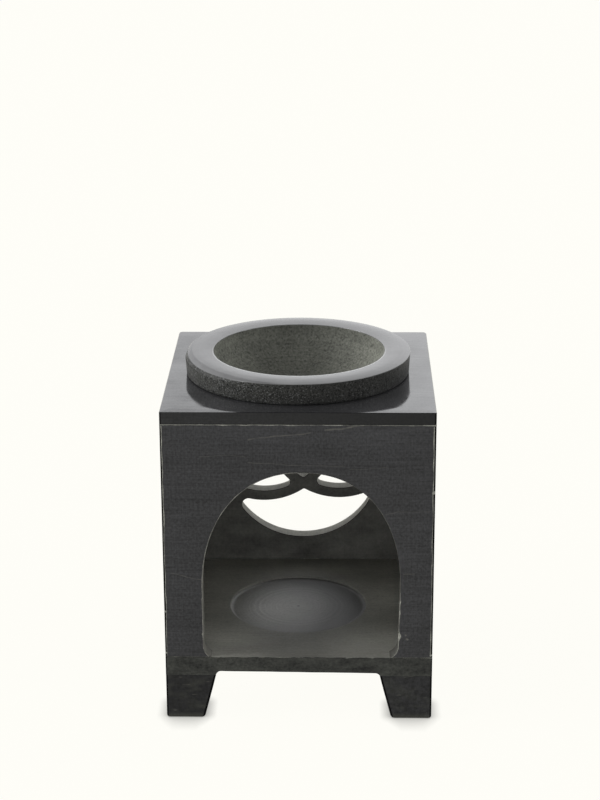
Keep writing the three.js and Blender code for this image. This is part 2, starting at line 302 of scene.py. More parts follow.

# The floor's, the slab's and the dish's changes, among them painted light and shade
FLOOR_SANDING = Grain(9, 0.4, 2, 3)
FLOOR_CLOUD = Grain(12, 6, 8, 4)
FLOOR_MOTTLE = ((FLOOR_SANDING, 0.3), (FLOOR_CLOUD, 0.2), (PANEL_SPECKLE, 0.3))
# Painted light and shade on the chamber's floor: lighter towards its left, right and back, darker along its
# front
FLOOR_GRADES = (
    (RIGHTWARDS, -28, -5, 2.25, 1),
    (RIGHTWARDS, 5, 28, 1, 2.15),
    (BACKWARDS, -25, 10, 1, 1.2),
    (BACKWARDS, -40, -26, 0.74, 1.2),
    (BACKWARDS, -24, -12, 1, 0.84),
)
# Painted pools of light at the back and the right of the floor, and painted shade near its front right
FLOOR_PATCHES = (((0, 34), 0, 18, 1.6, 1), ((27, 3), 0, 18, 1.58, 1), ((24, -38), 0, 10, 0.76, 1))
RECESS_MOTTLE = ((FLOOR_CLOUD, 0.15), (PANEL_SPECKLE, 0.3))
RECESS_RINGS, RECESS_RING_SHARE = 0.9, 0.25
RECESS_EDGE = (0.1, -0.3)
# A painted pool of light on the recess, left of its middle
RECESS_GLOW = ((-12, -2.5), 1, 23, 2.8, 0.4)
# Painted light on the recess's slope: how far either side of its foot the change runs, and its shares
RECESS_BEND = 0.3
RECESS_BEND_SHARES = (1, 1.05)
RECESS_PIP = (0.35, 0.6, 0.35, 1)
FLOOR_ROUGHNESS = (0.5, 0.35)
FLOOR_RELIEF = 0.01
FLOOR_IOR = (RIGHTWARDS, -14, 8, 1.53, 1.36)
SLAB_SPECKLE = Grain(0.6, 0.6, 0.6, 2, 0.7)
SLAB_MOTTLE = ((Grain(9, 9, 9, 4), 0.2), (SLAB_SPECKLE, 0.5))
# Painted light on the slab's top, growing towards the right, and painted shade at the middle of its front
SLAB_LIGHT_GRADE = (RIGHTWARDS, -38, 38, 1.05, 1.35)
SLAB_FRONT_SHADE = ((4, -37), 2, 20, 0.75, 1)
SLAB_SMEARS = Grain(14, 5, 5, 3)
SLAB_ROUGHNESS = (0.3, 0.7, 0.07, 0.13)
SLAB_RIPPLE = Grain(6, 6, 6, 1)
SLAB_RELIEF = 0.006
SLAB_SHEEN = (
    (Grain(18, 1.5, 2, 4, 0.7), 0.25),
    (SLAB_SPECKLE, 0.15),
    (Grain(16, 16, 16, 2, 0.5, (3, 1, 6)), 0.35),
)
SLAB_IOR = ((0.89, 0.45, 0), -45, 45, 1.62, 2.48)
DISH_RINGS = 0.6
DISH_GRAIN_ROUGHNESS = 0.6
DISH_CLOUD = (Grain(8, 8, 8, 3), 0.3)
# Painted shade deep in the bowl and at the dish's back, and painted light towards its left and right
DISH_MIDDLE_SPAN = (8, 22, 0.78, 1)
DISH_BACK_GRADE = (BACKWARDS, 2, 18, 1, 0.64)
DISH_ASIDE_SPAN = (5, 20, 0.9, 1.2)
SPECK_EDGE = 0.05
PALE_SPECK_SIZE_SHARE = 0.8
PALE_SPECK_LEVEL, DARK_SPECK_LEVEL = 0.62, 0.6
DARK_SPECK_SHIFT = (5, 9, 2)
DISH_SPECULAR = (0, 1, 0.5, 0.1)
DISH_RELIEF = 0.04
RIM_CLOUD = Grain(9, 9, 9, 3)
RIM_BRUSHED = Grain(12, 1.2, 2, 3)
RIM_MOTTLE = ((RIM_CLOUD, 0.5), (RIM_BRUSHED, 0.12))
RIM_RINGS, RIM_RING_SHARE = 2.5, 0.15
RIM_NEAR = (DISH_MOUTH / 3, -DISH_MOUTH)
RIM_OUTER = (DISH_MOUTH + 2, DISH_MOUTH + 8)
# Painted shade towards the rim's outer edge at the front and the left, a painted highlight on its outer edge
# at the front left, painted light towards its outer right edge, and painted shade over its far side
RIM_DIM_GRADES = (((0.15, -0.99, 0), 5, 30, 0, 1), (LEFTWARDS, 22, 34, 0, 0.65))
RIM_HIGHLIGHT_GRADE = ((-0.6, -0.8, 0), 25, 33, 0, 1)
RIM_RIGHT_GRADE = (RIGHTWARDS, 27, 34, 1, 1.3)
RIM_FAR_SPAN = (0, 0.5, 0.82, 1)
RIM_DIM_SPAN = (0, 1, 1, 0.5)
RIM_HIGHLIGHT_SPAN = (0, 1, 1, 1.3)
RIM_ROUGHNESS = (0.35, 0.65, 0.2, 0.27)
RIM_RELIEF = 0.003
RIM_IOR = ((0.9, 0.44, 0), -34, 34, 1.55, 1.88)
RIM_DIM_IOR = 0.1
# The painted highlight along the near side of the dish's lip, and the painted dark line just inside it
LIP_WIDTHS = (0, 1, 0.2, 0.75)
LIP_EDGE, LIP_NEAR = (1.3, 0.7), (0.15, 0.5)
LIP_SHADE_EDGE, LIP_SHADE_NEAR = (0.5, 0.4), (0.3, 0.6)

# Veins of the front panel as points of X and Z, with width and strength
VEINS = (
    (((-14.4, 89.5), (-9.5, 90.2), (-6.0, 90.7), (1.5, 91.2), (3.6, 91.7)), 0.2, 0.27),
    (((7.9, 92.4), (11.4, 92.8), (13.7, 93.1), (16.9, 93.9)), 0.26, 0.45),
    (((32.25, 26.4), (32.45, 26.3)), 0.3, 0.8),
    (((31.9, 27.6), (32.0, 27.5)), 0.25, 0.5),
    (((-28.4, 84.2), (-19.8, 84.7), (-15.3, 84.2)), 0.11, 0.22),
    (((-14.5, 82.5), (-2.6, 81.7), (13.6, 81.3)), 0.11, 0.22),
    (((15.1, 80.3), (25.8, 81.0)), 0.13, 0.14),
    (((25.4, 66.3), (29.2, 67.2), (38.8, 67.3)), 0.13, 0.14),
    (((-38.3, 47.7), (-31.1, 45.9), (-28.6, 45.5)), 0.12, 0.27),
    (((30.9, 47.4), (34.4, 47.6)), 0.12, 0.2),
)
VEIN_DRIFT = 0.7
VEIN_DRIFT_LENGTH = 4
VEIN_WIDTH_SHARES = (0.5, 1.3)
VEIN_BREAKS = Grain(2.2, 2.2, 2.2, 3)
VEIN_BREAK_SPAN = (0.35, 0.62, 0.35, 1)

# Lamps as name, direction, strength and spread in degrees
LAMPS = (
    ("key", (-0.9, -0.12, 0.4), 2.3, 34),
    ("front_left", (-0.45, -0.87, 0.24), 0.26, 50),
    ("front_right", (0.45, -0.87, 0.24), 0.24, 50),
    ("low_front", (0.0, -1.0, 0.1), 0.22, 30),
    ("right", (0.9, -0.2, 0.38), 0.75, 40),
    ("back", (0.3, 0.85, 0.35), 0.25, 60),
)
WORLD_TONE, WORLD_STRENGTH = (1, 1, 1), 0.33
SKY_TONE = (0.97, 0.98, 1.0)

# The ground, and the soft contact shadow round the feet, from ambient occlusion
GROUND_REACH = 6000
GROUND_TONE = (0.95, 0.945, 0.90)
GROUND_SHOWN_SHARE = 0.98
HALO_SIDE_REACH = 3.5
HALO_FRONT_REACH = 9
HALO_SHARE = 0.88
HALO_FRONT = (-41, -38)
HALO_BACK = (-20, -10)
HALO_MIDDLE = 34.3
HALO_WIDTH = (3.5, 7.5)


def in_metres(point):
    return Vector(point) * MM


def node_box(node):
    low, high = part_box(node)
    return low / MM, high / MM


def added(name, data):
    """A new object in the scene."""
    made = bpy.data.objects.new(name, data)
    bpy.context.scene.collection.objects.link(made)
    return made


# Outlines


class Arc(NamedTuple):
    """A circle; as a cell's edge it turns anticlockwise (1) or clockwise (-1)."""

    x: float
    z: float
    radius: float
    turn: int = 1
    corner: float = CELL_CORNER


def arc_points(circle, start, end, spacing=POINT_SPACING):
    count = max(2, math.ceil(abs(end - start) * circle.radius / spacing))
    angles = [start + (end - start) * i / count for i in range(count + 1)]
    return [
        (circle.x + circle.radius * math.cos(a), circle.z + circle.radius * math.sin(a)) for a in angles
    ]


def quarter_turn(count):
    return [math.pi / 2 * i / count for i in range(count + 1)]


def curve_points(start, bend, end, count=CURVE_STEPS):
    """A quadratic curve, both ends included."""
    points = []
    for i in range(count + 1):
        t = i / count
        weights = ((1 - t) ** 2, 2 * t * (1 - t), t**2)
        points.append(tuple(sum(w * p[k] for w, p in zip(weights, (start, bend, end))) for k in (0, 1)))
    return points


def between(a, b, k, count):
    return tuple(p + (q - p) * k / count for p, q in zip(a, b))


def closed_outline(points):
    """The same closed outline with no doubled points, and more along its long stretches."""
    kept = []
    for p in points:
        if not kept or math.dist(p, kept[-1]) > CORNER_SPACING / 4:
            kept.append(p)
    if math.dist(kept[0], kept[-1]) < CORNER_SPACING / 4:
        kept.pop()
    dense = []
    for a, b in zip(kept, kept[1:] + kept[:1]):
        count = max(1, round(math.dist(a, b) / POINT_SPACING))
        dense += [between(a, b, k, count) for k in range(count)]
    return dense


def rounded_rectangle(low, high, radii):
    """Anticlockwise from the low corner; radii in the same order as the corners."""
    corners = ((low[0], low[1]), (high[0], low[1]), (high[0], high[1]), (low[0], high[1]))
    points = []
    for k, ((x, z), radius) in enumerate(zip(corners, radii)):
        side_x = 1 if k in (0, 3) else -1
        side_z = 1 if k in (0, 1) else -1
        start = math.pi * (1 + k / 2)
        circle = Arc(x + side_x * radius, z + side_z * radius, radius)
        points += arc_points(circle, start, start + math.pi / 2, CORNER_SPACING)
    return points


def arch_curve():
    points = []
    for i in range(ARCH_STEPS + 1):
        angle = math.pi * (1 - i / ARCH_STEPS)
        power = ARCH_LEFT_POWER if i < ARCH_STEPS / 2 else ARCH_RIGHT_POWER
        across = math.copysign(abs(math.cos(angle)) ** (2 / power), math.cos(angle))
        up = abs(math.sin(angle)) ** (2 / power)
        points.append((ARCH_SHIFT + ARCH_HALF_WIDTH * across, ARCH_SPRING_HEIGHT + ARCH_RISE * up))
    return points


def arch_corner(side):
    x = ARCH_SHIFT + side * (ARCH_HALF_WIDTH - ARCH_CORNER_RADIUS)
    circle = Arc(x, ARCH_CORNER_RADIUS * math.sin(ARCH_CORNER_TURN), ARCH_CORNER_RADIUS)
    if side < 0:
        return arc_points(circle, math.pi + ARCH_CORNER_TURN, math.pi, CORNER_SPACING)
    return arc_points(circle, 0, -ARCH_CORNER_TURN, CORNER_SPACING)


def front_outline(half, height):
    """Anticlockwise round the panel's legs and its arch, whose right jamb leans in towards its foot."""
    upright = [(ARCH_SHIFT + ARCH_HALF_WIDTH, ARCH_SPRING_HEIGHT / 2), *arch_corner(1)]
    right = [(u - RIGHT_JAMB_LEAN * (1 - v / ARCH_SPRING_HEIGHT), v) for u, v in upright]
    corners = [(half, 0), (half, height), (-half, height)]
    return closed_outline([(-half, 0), *arch_corner(-1), *arch_curve(), *right, *corners])


def band(shares, side):
    x, z, radius = [share * ROUNDEL_RADIUS for share in shares]
    return Arc(side * x, z, radius)


def within(circle, corner=CELL_CORNER):
    return circle._replace(radius=circle.radius - WEB_WIDTH / 2, turn=1, corner=corner)


def beyond(circle, corner=CELL_CORNER):
    return circle._replace(radius=circle.radius + WEB_WIDTH / 2, turn=-1, corner=corner)


def crossing(a, b, side):
    """Where two circles cross, to the left of the way from a to b when side is 1."""
    apart = math.hypot(b.x - a.x, b.z - a.z)
    along = (apart**2 + a.radius**2 - b.radius**2) / (2 * apart)
    across = side * math.sqrt(a.radius**2 - along**2)
    way_x, way_z = (b.x - a.x) / apart, (b.z - a.z) / apart
    return a.x + way_x * along - way_z * across, a.z + way_z * along + way_x * across


def corner_circle(a, b, radius):
    shrunk = [edge._replace(radius=edge.radius - edge.turn * radius) for edge in (a, b)]
    return Arc(*crossing(*shrunk, a.turn * b.turn), radius)


def bearing(start, end):
    return math.atan2(end.z - start.z, end.x - start.x)


def sweep_end(start, end, turn):
    return start + turn * ((turn * (end - start)) % math.tau)


def cell_outline(edges):
    """A cell from the arcs that bound it, anticlockwise, each with the radius of the corner at its end."""
    followers = edges[1:] + edges[:1]
    corners = [corner_circle(a, b, a.corner) for a, b in zip(edges, followers)]
    outline = []
    for before, edge, after, follower in zip(corners[-1:] + corners, edges, corners, followers):
        start = bearing(edge, before)
        outline += arc_points(edge, start, sweep_end(start, bearing(edge, after), edge.turn))
        turn_start = bearing(edge, after) if edge.turn > 0 else bearing(after, edge)
        turn_end = bearing(follower, after) if follower.turn > 0 else bearing(after, follower)
        stop = sweep_end(turn_start, turn_end, 1)
        outline += arc_points(after, turn_start, stop, CORNER_SPACING)[1:-1]
    return outline


def roundel_cells():
    """Every pierced cell, anticlockwise, in the back panel's X and height."""
    shares = (LOWER_UNDER_SHARES, LOWER_OVER_SHARES, SIDE_UNDER_SHARES, SIDE_OVER_SHARES, CENTRE_SHARES)
    under, over, side_under, side_over, centre = [band(row, 1) for row in shares]
    rim = Arc(0, 0, ROUNDEL_RADIUS)
    right = [
        cell_outline([within(under), within(over), beyond(centre, WIDE_CORNER)]),
        cell_outline([within(side_under), within(side_over), beyond(centre)]),
        cell_outline([rim, beyond(side_under), beyond(over)]),
        cell_outline([rim, beyond(centre), beyond(side_over)]),
    ]
    left = [[(-x, z) for x, z in reversed(cell)] for cell in right]
    wide_rim = rim._replace(corner=WIDE_CORNER)
    crescent = cell_outline([wide_rim, beyond(under), beyond(band(LOWER_UNDER_SHARES, -1), LEFT_TIP)])
    centre_petal = cell_outline([within(centre), within(band(CENTRE_SHARES, -1))])
    cos, sin = math.cos(ROUNDEL_TILT), math.sin(ROUNDEL_TILT)
    return [
        [(x * cos - z * sin, ROUNDEL_HEIGHT + x * sin + z * cos) for x, z in cell]
        for cell in (crescent, centre_petal, *right, *left)
    ]


# Meshes with worn arrises


class MeshParts:
    """Corners and faces gathered for one piece, each face with its material's number."""

    def __init__(self):
        self.corners = []
        self.faces = []
        self.slots = []

    def ring(self, points):
        first = len(self.corners)
        self.corners += points
        return list(range(first, first + len(points)))

    def face(self, corners, slot):
        self.faces.append(tuple(corners))
        self.slots.append(slot)

    def strip(self, a, b, slots):
        """Faces between two rings, of one material or of one named for each corner."""
        for i in range(len(a)):
            j = (i + 1) % len(a)
            self.face((a[i], a[j], b[j], b[i]), slots if isinstance(slots, int) else slots[i])

    def fill(self, loops, slot, creases=(), depth_at=None):
        """Triangles between an outline and its holes, level unless depth_at says how deep they lie."""
        points, edges = [], []
        for loop in loops:
            first, count = len(points), len(loop)
            points += [Vector(self.corners[i][:2]) for i in loop]
            edges += [(first + k, first + (k + 1) % count) for k in range(count)]
        for crease in creases:
            edges.append((len(points), len(points) + 1))
            points += [Vector(end) for end in crease]
        outline = list(range(len(loops[0])))
        kind = INSIDE if creases else INSIDE_BUT_HOLES
        corners, _, faces, *_ = delaunay_2d_cdt(points, edges, [outline], kind, NEAR_POINTS)
        level = self.corners[loops[0][0]][2]
        made = self.ring([(p.x, p.y, depth_at(p.x, p.y) if depth_at else level) for p in corners])
        for face in faces:
            self.face([made[k] for k in face], slot)

    def build(self, name, place, materials):
        mesh = bpy.data.meshes.new(name)
        mesh.from_pydata([in_metres(place(*corner)) for corner in self.corners], [], self.faces)
        for material in materials:
            mesh.materials.append(material)
        mesh.polygons.foreach_set("material_index", self.slots)
        whole = bmesh.new()
        whole.from_mesh(mesh)
        bmesh.ops.remove_doubles(whole, verts=whole.verts, dist=SAME_POINT * MM)
        bmesh.ops.recalc_face_normals(whole, faces=whole.faces)
        whole.to_mesh(mesh)
        whole.free()
        mesh.shade_smooth()
        mesh.set_sharp_from_angle(angle=SHARP_ANGLE)
        return added(name, mesh)


def wander(u, v, seed, length):
    return noise.noise(Vector((u / length, v / length, seed)))


def chip(u, v, seed):
    """How deep the arris is chipped here: nothing along most of it."""
    spike = wander(u, v, seed + CHIP_SEEDS[0], CHIP_LENGTH)
    spike += CHIP_GRAIN_SHARE * wander(u, v, seed + CHIP_SEEDS[1], CHIP_GRAIN)
    return max(0.0, spike - CHIP_LEVEL) * CHIP_REACH


def mitres(loop):
    """For each point, the way into the stone, long enough that both edges move in by one."""
    ways = []
    for i, p in enumerate(loop):
        before, after = loop[i - 1], loop[(i + 1) % len(loop)]
        a = Vector((p[0] - before[0], p[1] - before[1])).normalized()
        b = Vector((after[0] - p[0], after[1] - p[1])).normalized()
        normal = Vector((-a.y - b.y, a.x + b.x)).normalized()
        ways.append(normal / max(LEAST_MITRE_SHARE, normal.dot(Vector((-a.y, a.x)))))
    return ways


def worn_edge(parts, loop, finish, seed, depth_at, way):
    """The bruise and the chamfer along an outline; gives the rings beside the face and the wall."""
    rings, strip_slots, chamfer_slots = ([], [], []), [], []
    for (u, v), into in zip(loop, mitres(loop)):
        wear = finish(u, v)
        lost = chip(u, v, seed) if wear.bruise else 0.0
        change = 1 + CHAMFER_CHANGE_SHARE * wander(u, v, seed, CHAMFER_CHANGE)
        chamfer = wear.chamfer * change + lost
        change = 1 + BRUISE_CHANGE_SHARE * wander(u, v, seed + BRUISE_SEED, BRUISE_CHANGE)
        bruise = wear.bruise * max(BRUISE_LEAST_SHARE, change)
        dip = BRUISE_DIP_SHARE * bruise
        steps = ((chamfer + bruise, 0.0), (chamfer, dip), (0.0, dip + chamfer))
        for ring, (inset, depth) in zip(rings, steps):
            ring.append((u + into.x * inset, v + into.y * inset, depth_at(u, v) + way * depth))
        strip_slots.append(wear.slot)
        chamfer_slots.append(wear.slot if lost > CHIP_SEEN else wear.edge)
    by_face, middle, by_wall = [parts.ring(ring) for ring in rings]
    parts.strip(by_face, middle, strip_slots)
    parts.strip(middle, by_wall, chamfer_slots)
    return by_face, by_wall


def square_wall_slots(loop):
    """The wall's material for each corner of a square outline, whose upright arrises are dark."""
    half = max(u for u, v in loop)
    dark, wide = half - PLATE_ROUND, half - 2 * PLATE_ROUND
    return [CHAMFER if abs(v) > dark and (u < -dark or u > wide) else WALL for u, v in loop]


def panel_wall_slots(loop):
    """The wall's material for each corner of a panel's outline: only an arch cut into it is left sawn."""
    half = max(u for u, v in loop) - CORNER_SPACING
    height = max(v for u, v in loop) - CORNER_SPACING
    return [FACE if abs(u) > half or v > height else WALL for u, v in loop]


def falling_face(parts, loop, cap, fall):
    """Rings in from a square slab's edge, over which its face comes up to its full height."""
    half = max(u for u, v in loop)
    for k in range(1, FALL_STEPS + 1):
        inset = SLAB_FALL_REACH * k / FALL_STEPS
        share = 1 - inset / half
        ring = parts.ring([(u * share, v * share, fall(inset, v)) for u, v in loop])
        parts.strip(cap, ring, FACE)
        cap = ring
    return cap


def cut_slab(node, name, loops, place, near, far, materials, seed, fall=None):
    """A slab of stone with worn arrises. Its outline runs anticlockwise, and the holes after it clockwise."""
    thickness = min(b - a for a, b in zip(*node_box(node)))
    slots_of = square_wall_slots if fall else panel_wall_slots
    parts = MeshParts()
    near_caps, far_caps = [], []
    for k, loop in enumerate(loops):
        falls = fall and k == 0
        own_seed = seed + HOLE_SEED * k
        depth_at = (lambda u, v: fall(0, v)) if falls else (lambda u, v: 0.0)
        near_cap, near_wall = worn_edge(parts, loop, near, own_seed, depth_at, 1)
        far_cap, far_wall = worn_edge(parts, loop, far, own_seed + FAR_SEED, lambda u, v: thickness, -1)
        parts.strip(near_wall, far_wall, slots_of(loop) if k == 0 else WALL)
        near_caps.append(falling_face(parts, loop, near_cap, fall) if falls else near_cap)
        far_caps.append(far_cap)
    parts.fill(near_caps, FACE)
    parts.fill(far_caps, CHAMBER)
    keep(parts.build(name, place, materials), node, "burner")


def keep(piece, node, body):
    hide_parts(node)
    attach(piece, body)


# Materials


def opaque(tone):
    return (*tone, 1.0)


class Nodes:
    """The nodes of one material or world."""

    def __init__(self, owner, output):
        owner.use_nodes = True
        self.tree = owner.node_tree
        self.tree.nodes.clear()
        self.output = self.node(output)

    def node(self, kind, inputs=None, **settings):
        made = self.tree.nodes.new(kind)
        for key, value in settings.items():
            setattr(made, key, value)
        for key, value in (inputs or {}).items():
            if isinstance(value, bpy.types.NodeSocket):
                self.tree.links.new(value, made.inputs[key])
            else:
                made.inputs[key].default_value = value
        return made

    def math(self, operation, *values):
        return self.node("ShaderNodeMath", dict(enumerate(values)), operation=operation).outputs[0]

    def times(self, first, *others):
        for other in others:
            first = self.math("MULTIPLY", first, other)
        return first

    def vector(self, operation, *values, output="Vector"):
        made = self.node("ShaderNodeVectorMath", dict(enumerate(values)), operation=operation)
        return made.outputs[output]

    def measure(self, operation, *values):
        """A number from vectors: a length, a distance or a dot product."""
        return self.vector(operation, *values, output="Value")

    def scaled(self, tone, *factors):
        inputs = {0: tone, "Scale": self.times(*factors)}
        return self.node("ShaderNodeVectorMath", inputs, operation="SCALE").outputs[0]

    def span(self, value, start, end, low=0.0, high=1.0):
        """The value carried over from start and end to low and high, and held within them."""
        inputs = {"Value": value, "From Min": start, "From Max": end, "To Min": low, "To Max": high}
        return self.node("ShaderNodeMapRange", inputs).outputs[0]

    def mixed(self, factor, first, second):
        return self.node("ShaderNodeMixShader", {0: factor, 1: first, 2: second}).outputs[0]

    def seen_by(self, *kinds):
        """One for rays of these kinds."""
        path = self.node("ShaderNodeLightPath").outputs
        total = path[kinds[0]]
        for kind in kinds[1:]:
            total = self.math("MAXIMUM", total, path[kind])
        return total

    def show(self, shader):
        self.tree.links.new(shader, self.output.inputs["Surface"])


class Surface(Nodes):
    """The nodes of one material. Places and the sizes of noise are in millimetres."""

    def __init__(self, name):
        self.material = bpy.data.materials.new(name)
        super().__init__(self.material, "ShaderNodeOutputMaterial")
        self.place = self.scaled(self.node("ShaderNodeTexCoord").outputs["Object"], 1 / MM)
        self.grains = {}

    def grain(self, kind):
        """Noise from 0 to 1, with its own nodes only the first time it is asked for."""
        if kind not in self.grains:
            stretched = self.vector("MULTIPLY", self.place, (1 / kind.x, 1 / kind.y, 1 / kind.z))
            inputs = {"Vector": self.vector("ADD", stretched, kind.shift), "Scale": 1.0}
            inputs |= {"Detail": kind.detail, "Roughness": kind.roughness}
            self.grains[kind] = self.node("ShaderNodeTexNoise", inputs).outputs["Fac"]
        return self.grains[kind]

    def varied(self, *layers):
        """One plus each noise, centred on nothing and times its strength."""
        total = 1.0
        for value, strength in layers:
            value = self.grain(value) if isinstance(value, Grain) else value
            total = self.math("ADD", self.math("MULTIPLY_ADD", value, 2 * strength, -strength), total)
        return self.math("MAXIMUM", total, LEAST_TONE_SHARE)

    def specks(self, size, level, shift=(0, 0, 0)):
        """One inside scattered specks, fewer as the level goes up from a half."""
        return self.span(self.grain(Grain(size, size, size, 1, shift=shift)), level, level + SPECK_EDGE)

    def along(self, way):
        """How far this place is along a way, which is a direction of unit length."""
        return self.measure("DOT_PRODUCT", self.place, way)

    def grade(self, way, *span):
        return self.span(self.along(way), *span)

    def across(self, shares):
        """From the first share at the burner's left side to the second at its right."""
        return self.grade(RIGHTWARDS, *ACROSS, *shares)

    def level(self, centre, stretch=1.0):
        """The level way here from an upright line through centre, stretched along X."""
        return self.vector("MULTIPLY", self.vector("SUBTRACT", self.place, (*centre, 0)), (stretch, 1, 0))

    def around(self, centre):
        """Distance from an upright line through centre."""
        return self.measure("LENGTH", self.level(centre))

    def patch(self, centre, *span):
        return self.span(self.around(centre), *span)

    def rings(self, radius, width):
        """Noise that changes only with the distance from the turning axis."""
        inputs = {"W": self.times(radius, 1 / width), "Scale": 1.0, "Detail": 3.0}
        return self.node("ShaderNodeTexNoise", inputs, noise_dimensions="1D").outputs["Fac"]

    def blend(self, factor, a, b):
        inputs = {0: factor, 6: a, 7: b}
        return self.node("ShaderNodeMix", inputs, data_type="RGBA").outputs[2]

    def bump(self, height, depth, before=None):
        inputs = {"Height": height, "Distance": depth * MM, "Strength": 1.0}
        if before is not None:
            inputs["Normal"] = before
        return self.node("ShaderNodeBump", inputs).outputs[0]

    def finish(self, **sockets):
        """The material, whose shader has these values, named like its sockets."""
        keys = {name: name.replace("_", " ").title().replace("Ior", "IOR") for name in sockets}
        inputs = {keys[name]: value for name, value in sockets.items()}
        self.show(self.node("ShaderNodeBsdfPrincipled", inputs).outputs[0])
        return self.material


def vein_mask(stone):
    """One where a vein of the front panel runs, fading at its sides and broken along it."""
    drift = stone.node("ShaderNodeTexNoise", {"Vector": stone.place, "Scale": 1 / VEIN_DRIFT_LENGTH})
    centred = stone.vector("SUBTRACT", drift.outputs["Color"], (0.5, 0.5, 0.5))
    moved = stone.vector("ADD", stone.place, stone.vector("MULTIPLY", centred, (VEIN_DRIFT, 0, VEIN_DRIFT)))
    flat = stone.vector("MULTIPLY", moved, (1, 0, 1))
    total = 0.0
    for points, width, strength in VEINS:
        sides = [width * share for share in VEIN_WIDTH_SHARES]
        for (x1, z1), (x2, z2) in zip(points, points[1:]):
            way = Vector((x2 - x1, 0, z2 - z1))
            reach = stone.vector("SUBTRACT", flat, (x1, 0, z1))
            share = stone.span(stone.measure("DOT_PRODUCT", reach, way / way.length_squared), 0, 1)
            gap = stone.measure("DISTANCE", reach, stone.scaled(way, share))
            total = stone.math("MAXIMUM", stone.span(gap, *sides, strength, 0.0), total)
    return stone.times(total, stone.span(stone.grain(VEIN_BREAKS), *VEIN_BREAK_SPAN))


def satin_stone(name, tone, lined=1, clouded=0.35, grainy=0.9, roughness=0.5, shares=(1, 1), veined=False):
    """Rubbed charcoal soapstone with level striations and fine sanding marks."""
    stone = Surface(name)
    streaks = [(kind, strength * lined) for kind, strength in PANEL_STREAKS]
    mottle = stone.varied((PANEL_CLOUD, clouded), *streaks, (PANEL_SPECKLE, grainy))
    # Shares other than one paint light and shade from left to right, as in the chamber and on the slab's edge
    color = stone.scaled(tone, mottle, stone.across(shares))
    if veined:
        color = stone.blend(vein_mask(stone), color, opaque(VEIN_TONE))
    marks = stone.bump(stone.grain(PANEL_LINES), PANEL_RELIEF)
    grit = stone.bump(stone.grain(PANEL_SPECKLE), PANEL_RELIEF, marks)
    limits = [roughness + change for change in PANEL_ROUGHNESS_CHANGE]
    satin = stone.span(stone.grain(PANEL_CLOUD), *PANEL_CLOUD_LEVELS, *limits)
    return stone.finish(base_color=color, roughness=satin, normal=grit, ior=1.32)


def bruised_stone(name, shown, chalk=CHALK):
    """An arris rubbed pale and powdery, in dashes."""
    stone = Surface(name)
    start, end = ARRIS_DASH_LEVELS
    dashes = stone.span(stone.grain(ARRIS_DASHES), start - shown * ARRIS_SHOWN_SHARE, end)
    amount = stone.times(dashes, stone.span(stone.grain(ARRIS_FINE), *ARRIS_FINE_SPAN))
    color = stone.blend(amount, opaque(PANEL_TONE), opaque(chalk))
    return stone.finish(base_color=color, roughness=0.85, ior=1.3)


def dark_edge():
    # Near-black arrises and chamfers
    stone = Surface("near_black_edge")
    color = stone.scaled(DARK_TONE, stone.varied(DARK_MOTTLE))
    return stone.finish(base_color=color, roughness=0.8, specular_ior_level=0.0)


def foot_block_stone():
    """Darker blocks, with dust in patches and a few level scrapes."""
    stone = Surface("foot_block_stone")
    color = stone.scaled(FOOT_TONE, stone.varied(*FOOT_MOTTLE), stone.across(FOOT_SHARES))
    patches = stone.span(stone.grain(FOOT_PATCHES), *FOOT_PATCH_SPAN)
    dust = stone.math("MAXIMUM", patches, stone.grade(*FOOT_SOLE_DUST))
    color = stone.blend(dust, color, opaque(FOOT_DUST_TONE))
    scrapes = stone.span(stone.grain(FOOT_SCRAPES), *FOOT_SCRAPE_SPAN)
    color = stone.blend(scrapes, color, opaque(VEIN_TONE))
    grit = stone.bump(stone.grain(FOOT_GRIT), FOOT_RELIEF)
    return stone.finish(base_color=color, roughness=0.6, normal=grit, ior=1.32)


def rough_stone(name, tone, mottle, ridges, relief, roughness, ior, shares=(1, 1)):
    """Dusty or mottled stone that was left unpolished, with grains or a saw's ridges that stand out."""
    stone = Surface(name)
    # Shares other than one paint light and shade from left to right, as on the jambs
    color = stone.scaled(tone, stone.varied(*mottle), stone.across(shares))
    bumps = stone.bump(stone.grain(ridges), relief)
    return stone.finish(base_color=color, roughness=roughness, normal=bumps, ior=ior)


def floor_stone():
    """The chamber's floor: cross-sanded, with painted light and shade over it, and turned inside the recess,
    which has a painted pool of light.
    """
    stone = Surface("chamber_floor_stone")
    radius = stone.around(RECESS_PLACE)
    inside = stone.span(radius, *[RECESS_RADIUS + past for past in RECESS_EDGE])
    rings = stone.rings(radius, RECESS_RINGS)
    # Painted light and shade over the floor
    grades = [stone.grade(*grade) for grade in FLOOR_GRADES]
    patches = [stone.patch(*patch) for patch in FLOOR_PATCHES]
    floor = stone.scaled(FLOOR_TONE, stone.varied(*FLOOR_MOTTLE), *grades, *patches)
    flat = RECESS_RADIUS - RECESS_SLOPE
    # Painted light: the recess's slope a little lighter than its flat floor
    bend = stone.span(radius, flat - RECESS_BEND, flat + RECESS_BEND, *RECESS_BEND_SHARES)
    turned = stone.varied((rings, RECESS_RING_SHARE), *RECESS_MOTTLE)
    # The recess's tone, with a painted pool of light left of its middle
    recess = stone.scaled(RECESS_TONE, turned, stone.patch(*RECESS_GLOW), bend)
    color = stone.scaled(stone.blend(inside, floor, recess), stone.span(radius, *RECESS_PIP))
    height = stone.node("ShaderNodeMix", {0: inside, 2: stone.grain(FLOOR_SANDING), 3: rings}).outputs[0]
    return stone.finish(
        base_color=color,
        roughness=stone.span(inside, 0, 1, *FLOOR_ROUGHNESS),
        normal=stone.bump(height, FLOOR_RELIEF),
        ior=stone.grade(*FLOOR_IOR),
    )


